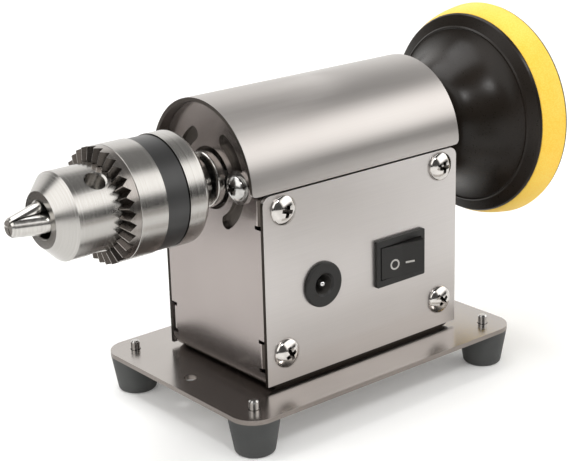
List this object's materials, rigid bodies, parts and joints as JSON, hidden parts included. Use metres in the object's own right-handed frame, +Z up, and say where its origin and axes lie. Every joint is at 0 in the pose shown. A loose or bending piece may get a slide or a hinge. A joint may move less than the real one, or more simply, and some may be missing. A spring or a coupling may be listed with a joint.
{
  "type": "bench buffer",
  "caption": "Small bench polishing motor in a bent steel housing on rubber feet, with a keyed drill chuck on one shaft end and a foam backing pad on the other.",
  "frame": {"origin": "on the bench under the spindle line, midway between the closed jaws' tips and the pad's working face", "axes": "+X along the spindle from the chuck to the pad, -Y towards the switch side, +Z up"},
  "size_m": [0.1896, 0.078, 0.113],
  "materials": {
    "base_plate": "polished stainless sheet, fine brush lines",
    "rubber_foot": "matte moulded rubber",
    "zinc_fasteners": "bright zinc plate",
    "frame_steel": "polished stainless sheet, fine brush lines",
    "panel_steel": "satin brushed stainless sheet",
    "chrome_screws": "bright nickel plate",
    "cover_steel": "polished rolled stainless sheet",
    "motor_steel": "drawn steel, grey plated",
    "motor_plastic": "moulded nylon",
    "magnet": "sintered ferrite, ground",
    "bearing_steel": "ground bearing steel",
    "brass": "stamped brass",
    "carbon": "pressed carbon",
    "inlet_plastic": "moulded thermoset",
    "nickel": "nickel plate",
    "switch_plastic": "moulded plastic",
    "rocker_plastic": "moulded plastic",
    "wire_red": "extruded insulation",
    "wire_black": "extruded insulation",
    "shaft_steel": "ground steel",
    "core_steel": "stamped laminations",
    "copper": "enamelled copper wire",
    "adapter_steel": "turned steel",
    "black_steel": "black oxide",
    "chuck_steel": "turned and ground steel",
    "grip_band": "dark pressed band",
    "jaw_steel": "ground hardened steel",
    "backing": "moulded polyurethane",
    "foam": "open-cell foam",
    "hook_layer": "woven hook layer"
  },
  "bodies": {
    "housing": {"base_plate": "base_plate", "foot_front_chuck_end": "rubber_foot", "foot_front_pad_end": "rubber_foot", "foot_back_chuck_end": "rubber_foot", "foot_back_pad_end": "rubber_foot", "foot_screws": "zinc_fasteners", "foot_washers": "zinc_fasteners", "motor_frame": "frame_steel", "frame_screws": "zinc_fasteners", "frame_nuts": "zinc_fasteners", "front_side_panel": "panel_steel", "back_side_panel": "panel_steel", "front_panel_screws": "chrome_screws", "back_panel_screws": "chrome_screws", "top_cover": "cover_steel", "motor_can": "motor_steel", "motor_end_cap": "motor_plastic", "motor_magnets": "magnet", "front_bearing": "bearing_steel", "rear_bearing": "bearing_steel", "brush_holders": "brass", "carbon_brushes": "carbon", "motor_terminals": "brass", "motor_screws": "zinc_fasteners", "motor_washers": "zinc_fasteners", "dc_jack_body": "inlet_plastic", "dc_jack_pin": "nickel", "dc_jack_nut": "nickel", "dc_jack_contacts": "brass", "switch_body": "switch_plastic", "switch_terminals": "brass", "wire_jack_to_switch": "wire_red", "wire_switch_to_motor": "wire_red", "wire_jack_to_motor": "wire_black"},
    "spindle": {"motor_shaft": "shaft_steel", "armature_core": "core_steel", "armature_windings": "copper", "commutator": "copper", "chuck_adapter": "adapter_steel", "chuck_set_screws": "black_steel", "chuck_body": "chuck_steel", "pad_adapter": "adapter_steel", "pad_set_screws": "black_steel", "pad_insert": "adapter_steel", "pad_backing": "backing", "pad_foam": "foam", "pad_hook_face": "hook_layer"},
    "sleeve": {"chuck_sleeve": "chuck_steel", "chuck_grip_band": "grip_band", "chuck_nut": "chuck_steel"},
    "jaw_a": {"jaw_1": "jaw_steel"},
    "jaw_b": {"jaw_2": "jaw_steel"},
    "jaw_c": {"jaw_3": "jaw_steel"},
    "rocker": {"switch_rocker": "rocker_plastic"}
  },
  "joints": [
    {"name": "spindle_spin", "type": "hinge", "parent": "housing", "child": "spindle", "pos_m": [0.01425, 0, 0.076], "axis": [1, 0, 0], "continuous": true},
    {"name": "sleeve_turn", "type": "hinge", "parent": "spindle", "child": "sleeve", "pos_m": [-0.06375, 0, 0.076], "axis": [-1, 0, 0], "range_deg": [0, 3240]},
    {"name": "jaw_1_slide", "type": "slide", "parent": "spindle", "child": "jaw_a", "axis": [0.9681, -0.2485, -0.0305], "range_m": [0, 0.01801]},
    {"name": "jaw_2_slide", "type": "slide", "parent": "spindle", "child": "jaw_b", "axis": [0.9681, 0.1507, -0.2], "range_m": [0, 0.01801]},
    {"name": "jaw_3_slide", "type": "slide", "parent": "spindle", "child": "jaw_c", "axis": [0.9681, 0.0978, 0.2305], "range_m": [0, 0.01801]},
    {"name": "rocker_tilt", "type": "hinge", "parent": "housing", "child": "rocker", "pos_m": [0.02865, -0.0245, 0.0434], "axis": [0, 0, 1], "range_deg": [0, 22]}
  ],
  "couplings": [
    {"joint": "jaw_1_slide", "follows": "sleeve_turn", "m_per_rad": 0.0003183},
    {"joint": "jaw_2_slide", "follows": "sleeve_turn", "m_per_rad": 0.0003183},
    {"joint": "jaw_3_slide", "follows": "sleeve_turn", "m_per_rad": 0.0003183}
  ]
}
